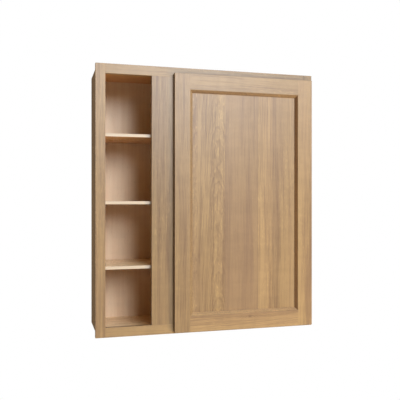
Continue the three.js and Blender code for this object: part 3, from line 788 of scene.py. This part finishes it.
# The strip runs a little back into its own bar so that the two join.
moulded_edge = [
    (-ROOT, door_front),
    (0.0, door_front),
    (PROFILE_WIDTH, door_front + BEVEL_DEPTH),
    (PROFILE_WIDTH, panel_front),
    (groove_floor, panel_front),
    (groove_floor, panel_back),
    (PROFILE_WIDTH, panel_back),
    (PROFILE_WIDTH, door_back),
    (-ROOT, door_back),
]


def mitre(end, back, distance):
    """Where a moulded strip stops along its member, at a distance in from the member's bar."""
    return end + back * (max(distance, 0.0) + MITRE_GAP)


def rail_strip(end):
    into = -1 if end == "top" else 1
    return sweep(moulded_edge, [
        lambda u, v, x=x, back=back: (mitre(x, back, u), v, inner_z[end] + into * u)
        for x, back in ((inner_x["left"], 1), (inner_x["right"], -1))
    ])


def stile_strip(side):
    into = 1 if side == "left" else -1
    return sweep(moulded_edge, [
        lambda u, v, z=z, back=back: (inner_x[side] + into * u, v, mitre(z, back, u))
        for z, back in ((inner_z["bottom"], 1), (inner_z["top"], -1))
    ])


def arris(face, inwards, ease):
    """A rounded arris from the face inwards: how deep each row lies and how far in its outline is."""
    angles = [math.pi / 2 * k / EASE_STEPS for k in range(EASE_STEPS, -1, -1)]
    return [(face + inwards * ease * (1 - math.sin(a)), ease * (1 - math.cos(a))) for a in angles]


def door_blank():
    """The door's whole outline as a slab with rounded arrises, larger ones at the back."""
    stations = []
    for y, ease in arris(door_front, 1, FRONT_EASE) + arris(door_back, -1, BACK_EASE)[::-1]:
        def place(u, v, y=y, ease=ease):
            x = door_left + ease + (door_right - door_left - 2 * ease) * u
            z = door_base + ease + (door_top - door_base - 2 * ease) * v
            return x, y, z
        stations.append(place)
    return sweep([(0, 0), (1, 0), (1, 1), (0, 1)], stations)


door_bands = {"top": (inner_z["top"], door_top), "bottom": (door_base, inner_z["bottom"])}


def door_tenon(end, side, root=0.0):
    band = door_bands[end]
    edge = inner_x[side]
    x = (edge - DOOR_TENON, edge + root) if side == "left" else (edge - root, edge + DOOR_TENON)
    lo = (x[0], panel_front, band[0] + DOOR_TENON_SHOULDER)
    hi = (x[1], panel_back, band[1] - DOOR_TENON_SHOULDER)
    return block(lo, hi)


def door_rail(end):
    band = door_bands[end]
    bar = block((inner_x["left"], door_front, band[0]), (inner_x["right"], door_back, band[1]))
    bar = boolean(bar, "INTERSECT", [door_blank()])
    tenons = [door_tenon(end, side, ROOT) for side in inner_x]
    return boolean(bar, "UNION", [rail_strip(end), *tenons])


def door_stile(side):
    x = (door_left, inner_x["left"]) if side == "left" else (inner_x["right"], door_right)
    bar = block((x[0], door_front, door_base), (x[1], door_back, door_top))
    bar = boolean(bar, "INTERSECT", [door_blank()])
    bar = boolean(bar, "UNION", [stile_strip(side)])
    return boolean(bar, "DIFFERENCE", [door_tenon("top", side), door_tenon("bottom", side)])


LIGHT_AND_STAIN_START = 0.4 * MM  # how far behind the door's front the painted light and shade, with the deeper stain, begins
LIGHT_AND_STAIN_END = 2.2 * MM
LIGHT_AND_STAIN_ROOM = 0.5 * MM
OUTER_EDGE = 1.5 * MM
NO_OUTER_EDGE = -1.0  # to the left of everything
LIGHT_AND_STAIN_ZONE = {
    "x": (inner_x["left"] + inner_x["right"]) / 2,
    "z": (inner_z["top"] + inner_z["bottom"]) / 2,
    "half_width": (inner_x["right"] - inner_x["left"]) / 2 + PROFILE_WIDTH + LIGHT_AND_STAIN_ROOM,
    "half_height": (inner_z["top"] - inner_z["bottom"]) / 2 + PROFILE_WIDTH + LIGHT_AND_STAIN_ROOM,
    "start": door_front + LIGHT_AND_STAIN_START,
    "end": door_front + LIGHT_AND_STAIN_END,
    "last": panel_front + LIGHT_AND_STAIN_ROOM,
}


def door_wood(member, grain, seed, tint, outer_limit=NO_OUTER_EDGE, outer_tint=(1, 1, 1), **look):
    """A door member's wood, with painted light and shade and deeper stain in its moulding and, up to
    outer_limit, on its outer edge.
    """
    edge_light_and_stain = (LIGHT_AND_STAIN_ZONE, tint, outer_limit, outer_tint)
    return stained_wood(f"{member}_wood", grain, seed, edge_light_and_stain=edge_light_and_stain, **look)


def finish_member(member, node, mesh, wood):
    finish_piece(f"{member}_board", mesh, wood, "door", [node])


# Moulding tints: painted light on the free stile's and the bottom rail's, painted shade on the top rail's and
# the hinge stile's and on the free stile's outer edge, all with some deeper stain.
finish_member("free_stile", "door_free_stile", door_stile("left"), door_wood(
    "free_stile", "upright", 21.0, (1.0, 1.03, 1.14), door_left + OUTER_EDGE, (0.54, 0.34, 0.21),
    tone=1.0, pith=(0.12, -0.22), rings=0.4,
))
finish_member("door_top", "door_top_rail", door_rail("top"), door_wood(
    "door_top", "level", 12.0, (0.88, 0.80, 0.68), tone=1.0, pith=(-0.3, -0.24), rings=0.35,
))
finish_member("door_bottom", "door_bottom_rail", door_rail("bottom"), door_wood(
    "door_bottom", "level", 13.0, (1.33, 1.32, 1.28), tone=1.2, pith=(-0.80, -0.27), rings=0.8,
    knot=(-0.963, 0.170),
))
# The hinge stile's board follows the hinges, whose cups and screws are cut out of it.
# Its moulding's tint is painted shade, with some deeper stain.
hinge_stile_wood = door_wood(
    "hinge_stile", "upright", 14.0, (0.57, 0.44, 0.35), tone=1.14, rosy=0.8, pith=(0.2, -0.22), rings=0.35,
)

# Staves of the glued-up centre panel, from the left: edge, then tone, rosiness and ring shift.
PANEL_STAVES = [
    (-0.150, (0.50, 0.35, 0.10)),
    (-0.053, (0.58, 0.08, 0.00)),
    (0.066, (0.46, 0.75, 0.35)),
    (0.210, (0.92, 0.00, 0.60)),
    (0.272, (0.50, 0.25, 0.85)),
    (0.345, (0.56, 0.20, 0.45)),
]
panel_lo, panel_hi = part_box("door_centre_panel")
board(
    "centre_panel_board", "door_centre_panel",
    stained_wood(
        "centre_panel_wood", "upright", 15.0, tone=1.03, pith=(0.044, -0.24), tilt=0.06,
        rings=0.5, staves=(panel_lo[0], panel_hi[0], PANEL_STAVES),
    ),
    "door",
)

# ---------------- hinges
# A hinge's own x runs from the door's hinge edge and its own y from the frame's front, in mm,
# and z is up from the hinge's middle.
NICKEL = plated_metal("bright_nickel", (0.66, 0.645, 0.615), (0.52, 0.505, 0.48), 0.30, 0.3)
ZINC = plated_metal("clear_zinc", (0.60, 0.61, 0.62), (0.45, 0.46, 0.475), 0.38, 0.7)
PIVOT = (-8.2, -10.5)
CUP_X = -21
CUP_RADIUS = 17.5
CUP_WALL = 1.2
CUP_FLOOR = 0.8
CUP_CORNER = 2.0
CUP_MOUTH = -2
CUP_BOTTOM = -15
CUP_SEGMENTS = 64
ROD_SEGMENTS = 24
SCREW_SEGMENTS = 32
FLANGE_RADIUS = 18.6
FLANGE_TOP = -1.1
FLANGE_SOFT = 0.25
FLANGE_EDGE_X = -5
WING = (-36, -25, 28)  # low x, high x, half height
WING_CORNER = 3.5
CHEEK_SPAN_X = (-13, -4)
CHEEK_SPAN_Z = (5.2, 14)
CHEEK_TOP = -6
CHEEK_CORNER = 3.0
CHEEK_LIMIT = 17
CHEEK_ROOT = 0.4
CHEEK_HOLE = 1.35
LIP_SOFT = 0.3
PIN_RADIUS = 1.2
PIN_HALF = 9
PIN_ROOM = 0.2
PIN_TAPER = 0.6
PIN_TIP = 0.5
EYE_RADIUS = 2.2
EYE_HOLE = 1.45
ARM_HALF = 4.8
STRAP = 1.8
STRAP_LEFT = -33.3
STRAP_END = 5
BEND_OUTER = 2.4
PLATE = 1.5
PLATE_Y = (1.5, 17.5)
PLATE_HALF = 17
PLATE_CORNER = 4.0
ARM_SCREW_Y = 11.5
ARM_SCREW_LENGTH = 15
CUP_SCREW_X = -30.5
CUP_SCREW_Z = 22.5
CUP_SCREW_LENGTH = 12.9
SCREW_HOLE = 2.0
BORE_RADIUS = 17.8
BORE_DEPTH = 13.2
HOLE_ROOM = 1
OVERSHOOT = 1
plate_x = (open_right - door_right) / MM
ARM_SCREW_SEAT = (plate_x - PLATE, ARM_SCREW_Y, 0)


def hinge_point(x, y, z):
    return Vector((door_right + x * MM, frame_front + y * MM, z * MM))


def arc(centre, radius, start, end, steps):
    turn_by = math.radians(end - start) / steps
    first = math.radians(start)
    angles = [first + turn_by * k for k in range(steps + 1)]
    return [(centre[0] + radius * math.cos(a), centre[1] + radius * math.sin(a)) for a in angles]


def rounded(x0, x1, y0, y1, radius, corners=(1, 1, 1, 1), steps=6):
    """A rectangle's outline with the chosen corners rounded, from low x, low y anticlockwise."""
    centres = [(x0, y0, 180), (x1, y0, 270), (x1, y1, 0), (x0, y1, 90)]
    outline = []
    for (x, y, start), soft in zip(centres, corners):
        if not soft:
            outline.append((x, y))
            continue
        cx = x + radius if x == x0 else x - radius
        cy = y + radius if y == y0 else y - radius
        outline += arc((cx, cy), radius, start, start + 90, steps)
    return outline


def plate_xz(outline, y0, y1, soft):
    """A flat plate lying in x and z, its upper rim softened."""
    cx = sum(u for u, v in outline) / len(outline)
    cz = sum(v for u, v in outline) / len(outline)
    reach = max(max(abs(u - cx), abs(v - cz)) for u, v in outline)

    def station(y, shrink):
        k = 1 - shrink / reach
        return lambda u, v: hinge_point(cx + (u - cx) * k, y, cz + (v - cz) * k)

    part_soft = soft * 0.3
    rows = [(y0, 0), (y1 - soft, 0), (y1 - part_soft, part_soft), (y1, soft)]
    return sweep(outline, [station(y, shrink) for y, shrink in rows])


def prism_z(outline, z0, z1):
    return sweep(outline, [lambda u, v, z=z: hinge_point(u, v, z) for z in (z0, z1)])


def turn_mm(profile, segments, axis, centre):
    return turn([(r * MM, h * MM) for r, h in profile], segments, axis, centre)


def hinge_turn(profile, centre, axis=(0, 1, 0), segments=CUP_SEGMENTS):
    """A profile in mm spun about an axis through a point of the hinge."""
    return turn_mm(profile, segments, axis, hinge_point(*centre))


def disc(radius, low, high):
    return [(0, low), (radius, low), (radius, high), (0, high)]


def rod_z(radius, half, segments=ROD_SEGMENTS):
    return hinge_turn(disc(radius, -half, half), (*PIVOT, 0), (0, 0, 1), segments)


def cup_screw_hole(side):
    top = (CUP_SCREW_X, FLANGE_TOP, side * CUP_SCREW_Z)
    depth = CUP_SCREW_LENGTH + HOLE_ROOM
    return hinge_turn(disc(SCREW_HOLE, -OVERSHOOT, depth), top, (0, -1, 0), ROD_SEGMENTS)


def cup_mesh():
    outer = arc((CUP_RADIUS - CUP_CORNER, CUP_BOTTOM + CUP_CORNER), CUP_CORNER, -90, 0, 6)
    inner_radius = CUP_RADIUS - CUP_WALL
    floor = CUP_BOTTOM + CUP_FLOOR
    inner = arc((inner_radius - CUP_WALL, floor + CUP_WALL), CUP_WALL, 0, -90, 5)
    lip = [(CUP_RADIUS, FLANGE_TOP - LIP_SOFT), (CUP_RADIUS - LIP_SOFT, FLANGE_TOP),
           (inner_radius + LIP_SOFT, FLANGE_TOP), (inner_radius, FLANGE_TOP - LIP_SOFT)]
    shell = [(0, CUP_BOTTOM), *outer, *lip, *inner, (0, floor)]
    base = hinge_turn(shell, (CUP_X, 0, 0))
    rim = [(0, CUP_MOUTH), (FLANGE_RADIUS, CUP_MOUTH), (FLANGE_RADIUS, FLANGE_TOP - FLANGE_SOFT),
           (FLANGE_RADIUS - FLANGE_SOFT, FLANGE_TOP), (0, FLANGE_TOP)]
    flange = hinge_turn(rim, (CUP_X, 0, 0))
    low, high, half = WING
    wing = plate_xz(rounded(low, high, -half, half, WING_CORNER), CUP_MOUTH, FLANGE_TOP, FLANGE_SOFT)
    mouth = hinge_turn(disc(inner_radius, CUP_MOUTH - OVERSHOOT, 0), (CUP_X, 0, 0))
    flange = boolean(boolean(flange, "UNION", [wing]), "DIFFERENCE", [mouth])
    cheek_outline = rounded(*CHEEK_SPAN_X, floor - CHEEK_ROOT, CHEEK_TOP, CHEEK_CORNER, (0, 0, 1, 1))
    near, far = CHEEK_SPAN_Z
    cheeks = []
    for z0, z1 in ((near, far), (-far, -near)):
        limit = hinge_turn(disc(CHEEK_LIMIT, floor - OVERSHOOT, CHEEK_TOP + OVERSHOOT), (CUP_X, 0, 0))
        cheeks.append(boolean(prism_z(cheek_outline, z0, z1), "INTERSECT", [limit]))
    whole = boolean(base, "UNION", [flange, *cheeks])
    beyond = FLANGE_RADIUS + OVERSHOOT
    trim = block(hinge_point(FLANGE_EDGE_X, CUP_MOUTH, -beyond), hinge_point(OVERSHOOT, OVERSHOOT, beyond))
    cuts = [trim, rod_z(CHEEK_HOLE, PIN_HALF + PIN_ROOM), cup_screw_hole(1), cup_screw_hole(-1)]
    return boolean(whole, "DIFFERENCE", cuts)


def arm_mesh():
    front, back = PIVOT[1] - STRAP / 2, PIVOT[1] + STRAP / 2
    inner_bend = BEND_OUTER - STRAP
    right = STRAP_LEFT + STRAP
    strap = [
        *arc((STRAP_LEFT + BEND_OUTER, front + BEND_OUTER), BEND_OUTER, 180, 270, 8),
        (PIVOT[0], front),
        (PIVOT[0], back),
        *arc((right + inner_bend, back + inner_bend), inner_bend, 270, 180, 6),
        (right, STRAP_END),
        (STRAP_LEFT, STRAP_END),
    ]
    body = prism_z(strap, -ARM_HALF, ARM_HALF)
    outline = rounded(*PLATE_Y, -PLATE_HALF, PLATE_HALF, PLATE_CORNER)
    faces = (plate_x - PLATE, plate_x)
    plate = sweep(outline, [lambda u, v, x=x: hinge_point(x, u, v) for x in faces])
    hole = disc(SCREW_HOLE, -OVERSHOOT, PLATE + OVERSHOOT)
    hole = hinge_turn(hole, ARM_SCREW_SEAT, (1, 0, 0), ROD_SEGMENTS)
    joined = boolean(body, "UNION", [rod_z(EYE_RADIUS, ARM_HALF, 32), plate])
    return boolean(joined, "DIFFERENCE", [rod_z(EYE_HOLE, ARM_HALF + OVERSHOOT), hole])


SPRING_HALF = 4.5
SPRING_STEEL = 0.7
SPRING_BACK = -33
SPRING_FOLD = -13
SPRING_TIP = -24
SPRING_RISE = 2.4
SPRING_ROOT = -16.5
SPRING_MID_RISE = 0.55
SPRING_LIFT = 0.05


def spring_mesh():
    floor = CUP_BOTTOM + CUP_FLOOR
    upper = floor + SPRING_STEEL
    lifted = floor + SPRING_RISE
    middle = (SPRING_ROOT + SPRING_TIP) / 2
    middle_rise = SPRING_RISE * SPRING_MID_RISE
    leaf = [
        (SPRING_BACK, floor),
        *arc((SPRING_FOLD - SPRING_STEEL, upper), SPRING_STEEL, -90, 75, 8),
        (middle, upper + middle_rise),
        (SPRING_TIP, lifted),
        (SPRING_TIP, lifted - SPRING_STEEL),
        (middle, floor + middle_rise),
        (SPRING_ROOT + SPRING_STEEL / 2, upper + SPRING_LIFT),
        (SPRING_ROOT, upper),
        (SPRING_BACK, upper),
    ]
    return prism_z(leaf, -SPRING_HALF, SPRING_HALF)


def pin_mesh():
    end = [(0, -PIN_HALF), (PIN_RADIUS * PIN_TAPER, -PIN_HALF), (PIN_RADIUS, -PIN_HALF + PIN_TIP)]
    profile = end + [(r, -h) for r, h in reversed(end)]
    return hinge_turn(profile, (*PIVOT, 0), (0, 0, 1), ROD_SEGMENTS)


HEAD_PROFILE = [(0, -0.7), (1.5, -0.69), (2.4, -0.58), (3.0, -0.36), (3.35, -0.1), (3.4, 0)]
THREAD_PITCH = 1.3
THREAD_ROOT = 1.25
THREAD_CREST = 1.75
TIP_LENGTH = 3
THREAD_RISE = 0.4  # of the pitch
NECK = 0.8
RECESS_HALF_LENGTH = 1.7 * MM
RECESS_HALF_WIDTH = 0.36 * MM
RECESS_TAPER = 0.55
RECESS_MOUTH = -1.7 * MM  # beyond the head's crown
RECESS_FLOOR = -0.2 * MM


def screw_mesh(length, axis, seat):
    """A cross-recessed screw going in along its axis from a seat under its head."""
    profile = [*HEAD_PROFILE, (THREAD_CREST, 0), (THREAD_CREST, NECK)]
    along = NECK
    while along + THREAD_PITCH < length - TIP_LENGTH:
        profile += [(THREAD_ROOT, along + THREAD_PITCH * THREAD_RISE), (THREAD_CREST, along + THREAD_PITCH)]
        along += THREAD_PITCH
    profile += [(THREAD_ROOT, length - TIP_LENGTH), (0, length)]
    body = hinge_turn(profile, seat, axis, SCREW_SEGMENTS)
    axis = Vector(axis)
    side = Vector((0, 0, 1))
    other = axis.cross(side)
    seat_at = hinge_point(*seat)
    cuts = []
    for a, b in ((side, other), (other, side)):
        cut = bmesh.new()
        bmesh.ops.create_cube(cut, size=2)
        for v in cut.verts:
            x, y, z = v.co
            taper, height = (1.0, RECESS_MOUTH) if z < 0 else (RECESS_TAPER, RECESS_FLOOR)
            across = a * x * RECESS_HALF_LENGTH + b * y * RECESS_HALF_WIDTH
            v.co = seat_at + across * taper + axis * height
        bmesh.ops.recalc_face_normals(cut, faces=cut.faces[:])
        cuts.append(cut)
    return boolean(body, "DIFFERENCE", cuts)


def lifted_copy(bm, height):
    made = bm.copy()
    bmesh.ops.translate(made, verts=made.verts[:], vec=(0, 0, height))
    return made


arm_box = {level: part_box(f"{level}_hinge_arm") for level in LEVELS}
hinge_height = {level: (lo[2] + hi[2]) / 2 for level, (lo, hi) in arm_box.items()}
# Each part's name, mesh, material, body, slot and angle of smoothing.
hinge_parts = [
    ("cup", cup_mesh(), NICKEL, "door", "nickel_steel", 32),
    ("arm", arm_mesh(), NICKEL, "cabinet", "nickel_steel", 32),
    ("pin", pin_mesh(), ZINC, "door", "zinc_steel", 40),
    ("spring", spring_mesh(), ZINC, "door", "zinc_steel", 32),
    ("arm_screw", screw_mesh(ARM_SCREW_LENGTH, (1, 0, 0), ARM_SCREW_SEAT), ZINC, "cabinet", "zinc_steel", 40),
]
for end, side in (("top", 1), ("bottom", -1)):
    seat = (CUP_SCREW_X, FLANGE_TOP, side * CUP_SCREW_Z)
    made = screw_mesh(CUP_SCREW_LENGTH, (0, -1, 0), seat)
    hinge_parts.append((f"cup_screw_{end}", made, ZINC, "door", "zinc_steel", 40))
for level in LEVELS:
    for part, source, material, body, slot, smooth in hinge_parts:
        finish_piece(
            f"{level}_{part}_detail", lifted_copy(source, hinge_height[level]), material, body,
            [f"{level}_hinge_{part}"], smooth,
        )
for _, source, *_ in hinge_parts:
    source.free()

bores = []
for height in hinge_height.values():
    bore = hinge_turn(disc(BORE_RADIUS, CUP_MOUTH - BORE_DEPTH, CUP_MOUTH + OVERSHOOT), (CUP_X, 0, 0))
    for cutter in (bore, cup_screw_hole(1), cup_screw_hole(-1)):
        bores.append(lifted_copy(cutter, height))
        cutter.free()
bored_stile = boolean(door_stile("right"), "DIFFERENCE", bores)
finish_member("hinge_stile", "door_hinge_stile", bored_stile, hinge_stile_wood)


# ---------------- shelf pins and bumpers
# All in mm.
PIN_SEGMENTS = 32
PEG_RADIUS = 2.4
PEG_LENGTH = 8
PEG_SOFT = 0.5
COLLAR_RADIUS = 3.0
COLLAR_THICKNESS = 1.5
COLLAR_SOFT = 0.3
TAB_LENGTH = 10
TAB_WIDTH = 8
TAB_THICKNESS = 2.2
TAB_CORNER = 2.5
TAB_ROOT = 1
RIB_HALF = 0.7
RIB_REACH = 7.5
RIB_DROP = 0.8  # of the collar's radius
RIB_TOP = 1


def shelf_pin_mesh():
    """A spoon pin with its peg along +x, the panel's face at x 0 and its tab's top at z 3."""
    peg = [(0, -TAB_ROOT), (PEG_RADIUS, -TAB_ROOT), (PEG_RADIUS, PEG_LENGTH - PEG_SOFT),
           (PEG_RADIUS - PEG_SOFT, PEG_LENGTH), (0, PEG_LENGTH)]
    collar = [(0, 0), (COLLAR_RADIUS, 0), (COLLAR_RADIUS, COLLAR_THICKNESS - COLLAR_SOFT),
              (COLLAR_RADIUS - COLLAR_SOFT, COLLAR_THICKNESS), (0, COLLAR_THICKNESS)]
    half = TAB_WIDTH / 2
    tab_base = COLLAR_RADIUS - TAB_THICKNESS
    tab = rounded(-TAB_LENGTH, -TAB_ROOT, -half, half, TAB_CORNER, (1, 0, 0, 1))
    tab_bm = sweep(tab, [lambda u, v, z=z: Vector((u, v, z)) * MM for z in (tab_base, COLLAR_RADIUS)])
    rib_end, rib_top = -COLLAR_THICKNESS / 2, COLLAR_RADIUS - RIB_TOP
    rib = [(rib_end, -COLLAR_RADIUS * RIB_DROP), (-RIB_REACH, tab_base),
           (-RIB_REACH, rib_top), (rib_end, rib_top)]
    rib_bm = sweep(rib, [lambda u, v, y=y: Vector((u, y, v)) * MM for y in (-RIB_HALF, RIB_HALF)])
    peg_bm = turn_mm(peg, PIN_SEGMENTS, (1, 0, 0), (0, 0, 0))
    collar_bm = turn_mm(collar, PIN_SEGMENTS, (-1, 0, 0), (0, 0, 0))
    return boolean(peg_bm, "UNION", [collar_bm, tab_bm, rib_bm])


pin_source = shelf_pin_mesh()
half_turn = Matrix.Rotation(math.pi, 3, "Z")
for level in LEVELS:
    for side, outwards in (("left", -1), ("right", 1)):
        for column in ("front", "back"):
            node = f"{level}_shelf_pin_{side}_{column}"
            lo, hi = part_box(node)
            face_x = (hi[0] if outwards > 0 else lo[0]) - outwards * PEG_LENGTH * MM
            made = pin_source.copy()
            if outwards < 0:
                bmesh.ops.rotate(made, verts=made.verts[:], cent=(0, 0, 0), matrix=half_turn)
            place = (face_x, (lo[1] + hi[1]) / 2, hi[2] - COLLAR_RADIUS * MM)
            bmesh.ops.translate(made, verts=made.verts[:], vec=place)
            finish_piece(f"{level}_pin_{side}_{column}", made, ZINC, "cabinet", [node], 35)
pin_source.free()

BUMPER = clear_rubber("clear_bumper")
BUMPER_SEGMENTS = 40
BUMPER_PROFILE = [(0, 0), (4.8, 0), (4.78, 0.7), (4.5, 1.3), (3.9, 1.75), (3.1, 1.95), (2.4, 2.0), (0, 2.0)]
for end in ("top", "bottom"):
    node = f"door_bumper_{end}"
    lo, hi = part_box(node)
    centre = ((lo[0] + hi[0]) / 2, lo[1], (lo[2] + hi[2]) / 2)
    dome = turn_mm(BUMPER_PROFILE, BUMPER_SEGMENTS, (0, 1, 0), centre)
    finish_piece(f"bumper_{end}", dome, BUMPER, "door", [node], 35)


# ---------------- floor
def make_floor():
    bm = bmesh.new()
    near, far = FLOOR_REACH
    ahead = Vector((math.sin(CAMERA_YAW), math.cos(CAMERA_YAW)))
    aside = Vector((ahead.y, -ahead.x))
    for side, reach in ((-1, near), (1, near), (1, far), (-1, far)):
        spot = Vector(CAMERA_PLACE[:2]) + ahead * reach + aside * side * FLOOR_HALF_WIDTH
        bm.verts.new((*spot, FLOOR_HEIGHT))
    bm.faces.new(bm.verts[:])
    floor = thing("studio_floor", bm)
    g = Graph("pale_floor")
    cloud = g.noise(g.object_place(), (1.5, 1.5, 1.5), 3.0)
    g.set(Base_Color=g.mix(cloud, *FLOOR_COLOURS), Roughness=0.7)
    g.set(Emission_Color=FLOOR_GLOW_COLOUR, Emission_Strength=FLOOR_GLOW)
    floor.data.materials.append(g.material)


make_floor()
